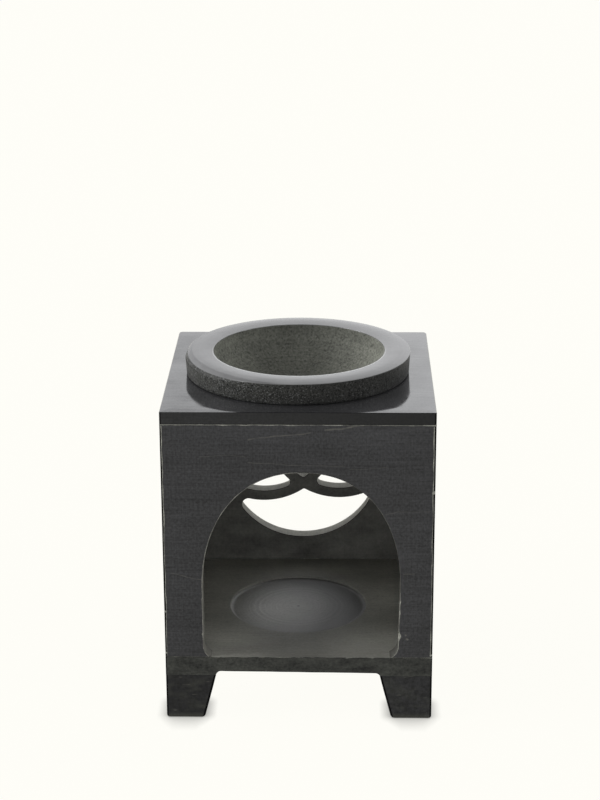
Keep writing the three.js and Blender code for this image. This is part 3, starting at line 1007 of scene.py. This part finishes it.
def polished_stone():
    """The slab's top: polished, smeared and streaked, with painted light that grows towards the right and
    painted shade at the middle of its front.
    """
    stone = Surface("polished_slab_stone")
    # Painted light growing towards the right, and painted shade at the middle of the front edge
    worn = (stone.grade(*SLAB_LIGHT_GRADE), stone.patch(*SLAB_FRONT_SHADE))
    return stone.finish(
        base_color=stone.scaled(SLAB_TONE, stone.varied(*SLAB_MOTTLE), *worn),
        roughness=stone.span(stone.grain(SLAB_SMEARS), *SLAB_ROUGHNESS),
        normal=stone.bump(stone.grain(SLAB_RIPPLE), SLAB_RELIEF),
        ior=stone.times(stone.grade(*SLAB_IOR), stone.varied(*SLAB_SHEEN)),
    )


def turned_stone(name, centre, tone, size, ringed, grainy, pale, dark, shares, roughness, ior):
    """The dish where it is left matt: lathe rings under a grain of pale and dark specks, with painted light
    and shade over it.
    """
    stone = Surface(name)
    radius = stone.around(centre)
    grains = stone.grain(Grain(size, size, size, 3, DISH_GRAIN_ROUGHNESS))
    rings = stone.rings(radius, DISH_RINGS)
    mottle = stone.varied((rings, ringed), DISH_CLOUD, (grains, grainy))
    # Painted shade deep in the bowl and at the back, painted light towards the sides, and painted light
    # graded from left to right
    middle = stone.span(radius, *DISH_MIDDLE_SPAN)
    aside = stone.span(stone.math("ABSOLUTE", stone.along(RIGHTWARDS)), *DISH_ASIDE_SPAN)
    across = stone.across(shares)
    color = stone.scaled(tone, mottle, across, middle, stone.grade(*DISH_BACK_GRADE), aside)
    # Pale specks painted lighter on the left by the same grade
    pale_specks = stone.times(stone.specks(size * PALE_SPECK_SIZE_SHARE, PALE_SPECK_LEVEL), pale)
    color = stone.blend(pale_specks, color, stone.scaled(SPECK_TONE, across))
    dark_specks = stone.times(stone.specks(size, DARK_SPECK_LEVEL, DARK_SPECK_SHIFT), dark)
    return stone.finish(
        base_color=stone.blend(dark_specks, color, opaque(DARK_TONE)),
        roughness=roughness,
        normal=stone.bump(grains, DISH_RELIEF),
        ior=ior,
        specular_ior_level=stone.span(dark_specks, *DISH_SPECULAR),
    )


def rim_stone(centre):
    """The rim's smooth top, which is brushed, with a painted highlight along the near side of its lip, a
    painted dark line just inside that, and painted light and shade graded over the top.
    """
    stone = Surface("dish_rim_stone")
    offset = stone.level((centre[0] + DISH_TOP_SHIFT, centre[1]), 1 / DISH_TOP_WIDTH_SHARE)
    radius = stone.measure("LENGTH", offset)
    nearness = stone.span(stone.measure("DOT_PRODUCT", offset, BACKWARDS), *RIM_NEAR)
    rings = stone.rings(radius, RIM_RINGS)
    color = stone.scaled(RIM_TONE, stone.varied(*RIM_MOTTLE, (rings, RIM_RING_SHARE)))
    # Painted highlight: a bright line along the near side of the lip
    lip_width = stone.span(nearness, *LIP_WIDTHS)
    past_lip = stone.math("DIVIDE", stone.math("SUBTRACT", radius, DISH_MOUTH), lip_width)
    rubbed = stone.times(stone.span(past_lip, *LIP_EDGE), stone.span(nearness, *LIP_NEAR))
    color = stone.blend(rubbed, color, opaque(LIP_HIGHLIGHT_TONE))
    # Painted shade towards the outer edge at the front and the left, in tone and in reflection
    outward = stone.span(radius, *RIM_OUTER)
    front, left = [stone.grade(*grade) for grade in RIM_DIM_GRADES]
    dim = stone.times(outward, stone.math("MAXIMUM", front, stone.times(outward, left)))
    # Painted highlight along the rim's outer edge at the front left
    outer_highlight = stone.times(outward, stone.grade(*RIM_HIGHLIGHT_GRADE))
    # Shares that paint shade over the far side and light towards the outer right edge, with the painted shade
    # and highlight above
    shares = (
        stone.span(nearness, *RIM_FAR_SPAN),
        stone.grade(*RIM_RIGHT_GRADE),
        stone.span(dim, *RIM_DIM_SPAN),
        stone.span(outer_highlight, *RIM_HIGHLIGHT_SPAN),
    )
    # Painted shade: a dark line just inside the lip's near side
    lip_shade_line = stone.times(stone.span(past_lip, *LIP_SHADE_EDGE), stone.span(nearness, *LIP_SHADE_NEAR))
    return stone.finish(
        base_color=stone.blend(lip_shade_line, stone.scaled(color, *shares), opaque(DARK_TONE)),
        roughness=stone.span(stone.grain(RIM_CLOUD), *RIM_ROUGHNESS),
        normal=stone.bump(stone.grain(RIM_BRUSHED), RIM_RELIEF),
        ior=stone.math("SUBTRACT", stone.grade(*RIM_IOR), stone.times(dim, RIM_DIM_IOR)),
    )


def make_paints():
    """Each piece's materials, in the order of their numbers."""
    bright = bruised_stone("chalky_arris", BRIGHT_SHOWN)
    dull = bruised_stone("dull_arris", DULL_SHOWN, DULL_CHALK)
    patchy = bruised_stone("patchy_arris", PATCHY_SHOWN)
    dark = dark_edge()
    # The chamber's walls painted in shade towards the right, and the slab's edge painted lighter on its left
    inside = satin_stone("chamber_wall_stone", *CHAMBER_LOOK)
    edge = satin_stone("slab_edge_stone", SLAB_EDGE_TONE, shares=SLAB_EDGE_SHARES)
    slab = polished_stone()
    low, high = node_box("oil_dish")
    axis = ((low.x + high.x) / 2, (low.y + high.y) / 2)
    # The jambs, the right one painted in shade
    jamb = rough_stone("jamb_stone", *SAWN_LOOK, JAMB_SHARES)
    cut = rough_stone("sawn_stone", *SAWN_LOOK)
    mottled = rough_stone("mottled_plate_stone", *PLATE_EDGE_LOOK)
    front = satin_stone("front_panel_stone", PANEL_TONE, veined=True)
    # The dish's side and bowl, with painted light and shade
    side = turned_stone("dish_side_stone", axis, *SIDE_LOOK)
    bowl = turned_stone("dish_bowl_stone", axis, *BOWL_LOOK)
    return {
        "front": (front, bright, dark, jamb, dull, inside),
        "wall": (satin_stone("side_panel_stone", PANEL_TONE), bright, dark, cut, dull, inside),
        "plate": (floor_stone(), bright, dark, mottled, patchy),
        "slab": (slab, slab, dark, edge, slab, inside),
        "foot": (foot_block_stone(), dark),
        "dish": (side, rim_stone(axis), bowl),
    }


# Pieces


def front_panel(paints):
    low, high = node_box("front_panel")
    half, height = high.x, high.z - low.z

    def near(u, v):
        if v > height - CORNER_SPACING:
            return FRONT_TOP._replace(slot=DULL) if FRONT_TOP_DULL[0] < u < FRONT_TOP_DULL[1] else FRONT_TOP
        if abs(u) > half - CORNER_SPACING:
            return FRONT_CORNER
        if v < CORNER_SPACING:
            return FRONT_FOOT
        if u >= 0 and v >= ARCH_SPRING_HEIGHT:
            return FRONT_CROWN
        notch = math.exp(-(math.dist((u, v), NOTCH_PLACE) ** 2))
        return Wear(
            FRONT_JAMB.chamfer + NOTCH_WEAR.chamfer * notch,
            FRONT_JAMB.bruise + NOTCH_WEAR.bruise * notch,
            edge=BRUISE if notch > NOTCH_SEEN_SHARE else CHAMFER,
        )

    cut_slab(
        "front_panel",
        "front_wall",
        [front_outline(half, height)],
        lambda u, v, w: (u, low.y + w, low.z + v),
        near,
        lambda u, v: FRONT_BEHIND,
        paints["front"],
        FRONT_SEED,
    )


def back_panel(paints):
    low, high = node_box("back_panel")
    half, height = high.x, high.z - low.z
    outer = closed_outline([(-half, 0), (half, 0), (half, height), (-half, height)])
    holes = [closed_outline(cell)[::-1] for cell in roundel_cells()]

    def inside(u, v):
        if v >= CORNER_SPACING:
            return BACK_INSIDE
        return BACK_RIGHT_FOOT if u > 0 else BACK_FOOT

    cut_slab(
        "back_panel",
        "back_wall",
        [outer, *holes],
        lambda u, v, w: (u, high.y - w, low.z + v),
        lambda u, v: BACK_CORNER if abs(u) > half - CORNER_SPACING else BACK_OUTSIDE,
        inside,
        paints["wall"],
        BACK_SEED,
    )


def side_panel(node, name, side, paints, seed):
    low, high = node_box(node)
    length, height = high.y - low.y, high.z - low.z
    outer_x = low.x if side < 0 else high.x
    cut_slab(
        node,
        name,
        [closed_outline([(0, 0), (length, 0), (length, height), (0, height)])],
        lambda u, v, w: (outer_x - side * w, low.y + u, low.z + v),
        lambda u, v: SIDE_OUTSIDE,
        lambda u, v: SIDE_INSIDE,
        paints["wall"],
        seed,
    )


def top_slab(paints):
    low, high = node_box("top_slab")
    radii = (SLAB_FRONT_ROUND, SLAB_FRONT_ROUND, SLAB_BACK_ROUND, SLAB_BACK_ROUND)
    outline = closed_outline(rounded_rectangle(low, high, radii))
    hole = closed_outline(arc_points(Arc(0, 0, DISH_BOWL + DISH_CLEARANCE), math.tau, 0))

    def fall(inset, v):
        """How far the polished top has fallen away at this distance from its edge: less at the back."""
        share = 1 - (1 - SLAB_BACK_FALL_SHARE) * (v - low.y) / (high.y - low.y)
        return SLAB_FALL * share * max(0.0, 1 - inset / SLAB_FALL_REACH) ** SLAB_FALL_POWER

    cut_slab(
        "top_slab",
        "top_stone",
        [outline, hole],
        lambda u, v, w: (u, v, high.z - w),
        lambda u, v: SLAB_FRONT if v < low.y + SLAB_FRONT_ROUND else SLAB_EDGE,
        lambda u, v: SLAB_UNDER,
        paints["slab"],
        SLAB_SEED,
        fall,
    )


def fillet_reach():
    """How far the fillet beside each foot's seam reaches under the plate."""
    return math.sqrt(PLATE_RELIEF * (2 * PLATE_FILLET - PLATE_RELIEF))


def relief_height(u, seams):
    """How far the plate's underside is ground away here, between two feet's seams."""
    reach = fillet_reach()
    past = max(u - (seams[1] - reach), seams[0] + reach - u)
    if past <= 0:
        return PLATE_RELIEF
    if past >= reach:
        return 0.0
    return PLATE_RELIEF - PLATE_FILLET + math.sqrt(PLATE_FILLET**2 - past**2)


def turned_rings(parts, profile, centre):
    """Rings of corners, one for each radius and depth of the profile."""
    angles = [math.tau * i / TURNED_SEGMENTS for i in range(TURNED_SEGMENTS)]
    ways = [(math.cos(a), math.sin(a)) for a in angles]
    return [
        parts.ring([(centre[0] + radius * x, centre[1] + radius * y, depth) for x, y in ways])
        for radius, depth in profile
    ]


def recess(parts):
    """The turned recess; gives its outer ring."""
    edge, floor = (RECESS_RADIUS, RECESS_DEPTH), (RECESS_RADIUS - RECESS_SLOPE, RECESS_DEPTH)
    slope = curve_points((RECESS_RADIUS, RECESS_STEP), edge, floor)
    profile = [(RECESS_RADIUS + RECESS_LIP, 0.0), (RECESS_RADIUS, RECESS_LIP_DEPTH), *slope]
    rings = turned_rings(parts, profile, RECESS_PLACE)
    for first, second in zip(rings, rings[1:]):
        parts.strip(first, second, FACE)
    parts.face(rings[-1], FACE)
    return rings[0]


def base_plate(paints):
    low, high = node_box("base_plate")
    half, thickness = high.x, high.z - low.z
    left_foot, right_foot = node_box("foot_front_left"), node_box("foot_front_right")
    across = (left_foot[1].x, right_foot[0].x)
    along = (left_foot[1].y, -left_foot[1].y)
    parts = MeshParts()
    outer = closed_outline(rounded_rectangle((-half, -half), (half, half), (PLATE_ROUND,) * 4))

    def relief(u, v):
        return max(relief_height(u, across) * (1 - RELIEF_LEAN * u), relief_height(v, along))

    def depth_at(u, v):
        return thickness - relief(u, v)

    def under(u, v):
        return PLATE_GROUND if relief(u, v) > LEAST_RELIEF else PLATE_SEAM

    top, upper_wall = worn_edge(parts, outer, lambda u, v: PLATE_TOP, PLATE_TOP_SEED, lambda u, v: 0.0, 1)
    bottom, lower_wall = worn_edge(parts, outer, under, PLATE_UNDER_SEED, depth_at, -1)
    parts.strip(upper_wall, lower_wall, square_wall_slots(outer))
    parts.fill([top, recess(parts)[::-1]], FACE)
    parts.fill([bottom], WALL, seam_creases(across, along, half - PLATE_ROUND), depth_at)
    piece = parts.build("base_stone", lambda u, v, w: (u, v, high.z - w), paints["plate"])
    keep(piece, "base_plate", "burner")


def seam_creases(across, along, far):
    """Lines from edge to edge of the plate's underside, along the fillets beside the feet's seams."""
    creases = []
    for angle in quarter_turn(FILLET_STEPS):
        inset = fillet_reach() * (1 - math.sin(angle))
        creases += [((x, -far), (x, far)) for x in (across[0] + inset, across[1] - inset)]
        creases += [((-far, y), (far, y)) for y in (along[0] + inset, along[1] - inset)]
    return creases


def foot_levels(height, top_width):
    """Height, near side and far side of the foot's section, from the sole up."""
    bend = height * FOOT_BEND_SHARE
    sole_width = top_width - FOOT_TAPER
    toe_end = sole_width + FOOT_TAPER / bend * FOOT_TOE
    toe = curve_points((sole_width - FOOT_TOE, 0), (sole_width, 0), (toe_end, FOOT_TOE))
    leg = curve_points((toe_end, FOOT_TOE), (top_width, bend), (top_width, height), LEG_STEPS)
    return [(z, (1 - math.sqrt(z)) ** 2 if z < FOOT_TOE else 0.0, width) for width, z in [*toe, *leg[1:]]]


def foot(node, name, paints):
    low, high = node_box(node)
    side_x = 1 if low.x < 0 else -1
    side_y = 1 if low.y < 0 else -1
    corner = (low.x if side_x > 0 else high.x, low.y if side_y > 0 else high.y)
    parts = MeshParts()
    rings, slots = [], []
    radii = (FOOT_OUTER_ROUND, FOOT_INNER_ROUND, FOOT_INNER_ROUND, FOOT_INNER_ROUND)
    across = foot_levels(high.z - low.z, high.x - low.x)
    along = foot_levels(high.z - low.z, high.y - low.y)
    for (z, near, far_x), (_, _, far_y) in zip(across, along):
        section = rounded_rectangle((near, near), (far_x, far_y), radii)
        rings.append(parts.ring([(u, v, z) for u, v in section]))
        slots.append(FOOT_ARRIS if z < FOOT_SOLE_ARRIS else None)
    gaps = [math.dist(p, q) for p, q in zip(section, section[1:] + section[:1])]
    arrises = [FOOT_ARRIS if gap < 2 * CORNER_SPACING else FACE for gap in gaps]
    for first, second, slot in zip(rings, rings[1:], slots):
        parts.strip(first, second, arrises if slot is None else slot)
    parts.face(rings[0], FACE)
    parts.face(rings[-1], FACE)
    place = lambda u, v, w: (corner[0] + side_x * u, corner[1] + side_y * v, low.z + w)
    keep(parts.build(name, place, paints["foot"]), node, "burner")


def bowl_outside(bottom, neck):
    """The bowl's outside as radius and height above the slab, from its foot up to the rim's underside."""
    outline = []
    for angle in quarter_turn(BOWL_OUTSIDE_STEPS):
        radius = DISH_FOOT + (DISH_BOWL - DISH_FOOT) * math.sin(angle)
        outline.append((radius, neck + (bottom - neck) * math.cos(angle)))
    return [*outline, (DISH_BOWL, -DISH_NECK_ROUND), (DISH_BOWL + DISH_NECK_ROUND, 0.0)]


def rim_outside(rim_radius, rim_height):
    """The rim's side, from its rounded heel up to the arris of its top."""
    heel_radius = rim_radius - DISH_TAPER
    heel_start, heel_end = (heel_radius - DISH_HEEL, 0.0), (heel_radius, DISH_HEEL)
    heel = curve_points(heel_start, (heel_radius, 0.0), heel_end, HEEL_STEPS)
    top = (rim_radius, rim_height - DISH_ARRIS - RIM_EDGE_FALL)
    return [*heel, *[between(heel_end, top, k, SIDE_STEPS) for k in range(1, SIDE_STEPS + 1)]]


def rim_top(rim_radius, rim_height):
    """The rim's top, which falls a little towards both its edges, and the lip of its mouth."""
    edge, mouth = rim_radius - DISH_ARRIS, DISH_MOUTH + DISH_LIP
    crown = []
    for k in range(CROWN_STEPS + 1):
        radius = edge + (mouth - edge) * k / CROWN_STEPS
        outer_fall = RIM_EDGE_FALL * max(0.0, 1 - (edge - radius) / RIM_FALL_REACH) ** 2
        lip_fall = RIM_LIP_FALL * max(0.0, 1 - (radius - mouth) / RIM_FALL_REACH) ** 2
        crown.append((radius, rim_height - outer_fall - lip_fall))
    top = crown[-1][1]
    lip = curve_points((mouth, top), (DISH_MOUTH, top), (DISH_MOUTH, top - DISH_LIP), LIP_STEPS)
    return [*crown, *lip[1:]]


def bowl_inside(rim_height):
    top = rim_height - RIM_LIP_FALL - DISH_LIP
    deep = top - (rim_height - DISH_DEPTH)
    angles = quarter_turn(BOWL_INSIDE_STEPS)[1:-1]
    return [(DISH_MOUTH * math.cos(a), top - deep * math.sin(a)) for a in angles]


def worn_arris(radius, z, angle, rim_radius, rim_height):
    """How far in and down a point of the rim's section is worn, at this angle round the dish."""
    away = abs((angle - SOFT_WAY + math.pi) % math.tau - math.pi) / SOFT_REACH
    wear = SOFT_ARRIS * (1 + math.cos(math.pi * min(1.0, away))) / 2
    if wear < SOFT_LEAST:
        return 0.0, 0.0
    below, inside = (rim_height - z) / wear, (rim_radius - radius) / wear
    fade = max(0.0, 1 - 2 * (rim_radius - radius) / (rim_radius - DISH_MOUTH))
    across = wear * fade * max(0.0, 1 - below) ** 2
    down = wear * max(0.0, 1 - inside) ** 2
    return across / 2, down / 2


def dish_ring(parts, centre, radius, z, lean, rim_radius, rim_height):
    """A ring, a little uneven, and moved over and narrowed in X by its lean from 0 to 1.

    Rings near the rim's outer arris are given its radius, and are worn down along its soft side.
    """
    ring = []
    width_share = 1 - lean * (1 - DISH_TOP_WIDTH_SHARE)
    for i in range(TURNED_SEGMENTS):
        angle = math.tau * i / TURNED_SEGMENTS
        way = Vector((math.cos(angle), math.sin(angle)))
        inward, down = worn_arris(radius, z, angle, rim_radius, rim_height) if rim_radius else (0.0, 0.0)
        uneven = wander(WOBBLES_ROUND * way.x, WOBBLES_ROUND * way.y, z / WOBBLE_RISE, 1)
        reach = radius - inward - DISH_WOBBLE * (1 + uneven) / 2
        x = centre[0] + DISH_TOP_SHIFT * lean + way.x * reach * width_share
        ring.append((x, centre[1] + way.y * reach, z - down))
    return parts.ring(ring)


def oil_dish(paints):
    low, high = node_box("oil_dish")
    slab_low, slab_high = node_box("top_slab")
    centre = ((low.x + high.x) / 2, (low.y + high.y) / 2)
    rim_radius, rim_height = (high.x - low.x) / 2, high.z - slab_high.z
    bottom = rim_height - DISH_DEPTH - DISH_FLOOR
    side_start = rim_height - DISH_LEAN_HEIGHT
    sections = (
        (bowl_outside(bottom, slab_low.z - slab_high.z), DISH_SIDE),
        (rim_outside(rim_radius, rim_height), DISH_SIDE),
        (rim_top(rim_radius, rim_height), DISH_RIM),
        (bowl_inside(rim_height), DISH_INSIDE),
    )
    parts = MeshParts()
    rings, slots = [], []
    for outline, slot in sections:
        for radius, z in outline:
            lean = min(1.0, max(0.0, (z - side_start) / DISH_LEAN_HEIGHT)) if slot == DISH_SIDE else 1.0
            worn_radius = rim_radius if radius > (DISH_MOUTH + rim_radius) / 2 and z > side_start else None
            rings.append(dish_ring(parts, centre, radius, z, lean, worn_radius, rim_height))
            slots.append(slot)
    parts.face(rings[0], DISH_SIDE)
    for first, second, slot in zip(rings, rings[1:], slots[1:]):
        parts.strip(first, second, slot)
    parts.face(rings[-1], DISH_INSIDE)
    piece = parts.build("turned_dish", lambda u, v, w: (u, v, slab_high.z + w), paints["dish"])
    keep(piece, "oil_dish", "dish")


# Camera, light and ground


def photo_camera():
    data = bpy.data.cameras.new("photo_camera")
    data.sensor_width = SENSOR
    data.lens = FOCAL_PIXELS * SENSOR / PHOTO_HEIGHT
    data.clip_start = CAMERA_NEAR * MM
    camera = added("photo_camera", data)
    turn = Matrix.Rotation(CAMERA_YAW, 3, "Z")
    pitch = Matrix.Rotation(math.pi / 2 - CAMERA_PITCH, 3, "X")
    roll = Matrix.Rotation(CAMERA_ROLL, 3, "Z")
    camera.matrix_world = Matrix.Translation(in_metres(CAMERA_PLACE)) @ (turn @ pitch @ roll).to_4x4()
    bpy.context.scene.camera = camera


def studio_world():
    """White to the camera, a neutral white in reflections, and a weaker light to all else."""
    world = bpy.data.worlds.new("studio")
    bpy.context.scene.world = world
    nodes = Nodes(world, "ShaderNodeOutputWorld")
    light, sky, shown = [
        nodes.node("ShaderNodeBackground", {"Color": opaque(tone), "Strength": strength}).outputs[0]
        for tone, strength in ((WORLD_TONE, WORLD_STRENGTH), (SKY_TONE, 1.0), (WHITE, 1.0))
    ]
    reflected = nodes.mixed(nodes.seen_by("Is Glossy Ray", "Is Transmission Ray"), light, sky)
    nodes.show(nodes.mixed(nodes.seen_by("Is Camera Ray"), reflected, shown))


def contact_halo(surface):
    """The strength of the shown white, which falls off close to the front feet: a contact shadow from ambient
    occlusion, reaching further in front of them and cut off behind them.
    """
    aside = surface.math("ABSOLUTE", surface.along(RIGHTWARDS))
    off_middle = surface.math("ABSOLUTE", surface.math("SUBTRACT", aside, HALO_MIDDLE))
    by_foot = surface.span(off_middle, *HALO_WIDTH, 1, 0)
    ahead = surface.times(surface.grade(BACKWARDS, *HALO_FRONT, 1, 0), by_foot)
    reach = surface.span(ahead, 0, 1, HALO_SIDE_REACH * MM, HALO_FRONT_REACH * MM)
    near = surface.node("ShaderNodeAmbientOcclusion", {"Distance": reach})
    clear = surface.math("MAXIMUM", near.outputs["AO"], surface.grade(BACKWARDS, *HALO_BACK))
    return surface.span(clear, 0, 1, 1 - HALO_SHARE, 1)


def ground():
    """A pale floor that takes the object's shadow, and that the camera and reflections see white."""
    reach = GROUND_REACH * MM
    mesh = bpy.data.meshes.new("ground")
    corners = [(-reach, -reach, 0), (reach, -reach, 0), (reach, reach, 0), (-reach, reach, 0)]
    mesh.from_pydata(corners, [], [(0, 1, 2, 3)])
    surface = Surface("ground")
    paper = surface.node("ShaderNodeBsdfDiffuse", {"Color": opaque(GROUND_TONE)})
    shown = surface.node("ShaderNodeEmission", {"Color": opaque(WHITE), "Strength": contact_halo(surface)})
    seen = surface.seen_by("Is Camera Ray", "Is Glossy Ray", "Is Transmission Ray")
    share = surface.times(seen, GROUND_SHOWN_SHARE)
    surface.show(surface.mixed(share, paper.outputs[0], shown.outputs[0]))
    mesh.materials.append(surface.material)
    added("ground", mesh)


def softbox(name, direction, strength, spread):
    """A large far lamp that lights everything alike from this direction."""
    data = bpy.data.lights.new(name, "SUN")
    data.angle = math.radians(spread)
    data.energy = strength
    lamp = added(name, data)
    lamp.rotation_mode = "QUATERNION"
    lamp.rotation_quaternion = (-Vector(direction)).to_track_quat("-Z", "Y")


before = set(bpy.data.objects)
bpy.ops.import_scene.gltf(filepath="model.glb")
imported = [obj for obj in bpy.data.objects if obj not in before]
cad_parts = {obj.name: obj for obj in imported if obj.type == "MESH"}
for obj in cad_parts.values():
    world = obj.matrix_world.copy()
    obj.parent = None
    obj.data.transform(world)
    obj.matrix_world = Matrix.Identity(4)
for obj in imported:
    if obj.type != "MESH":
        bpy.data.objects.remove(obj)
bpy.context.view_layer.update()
bpy.context.scene.view_settings.view_transform = "Standard"
photo_camera()
studio_world()
ground()
for lamp_row in LAMPS:
    softbox(*lamp_row)

PAINTS = make_paints()
front_panel(PAINTS)
back_panel(PAINTS)
side_panel("left_panel", "left_wall", -1, PAINTS, LEFT_SEED)
side_panel("right_panel", "right_wall", 1, PAINTS, RIGHT_SEED)
base_plate(PAINTS)
for corner_name in ("front_left", "front_right", "back_left", "back_right"):
    foot("foot_" + corner_name, "block_" + corner_name, PAINTS)
top_slab(PAINTS)
oil_dish(PAINTS)
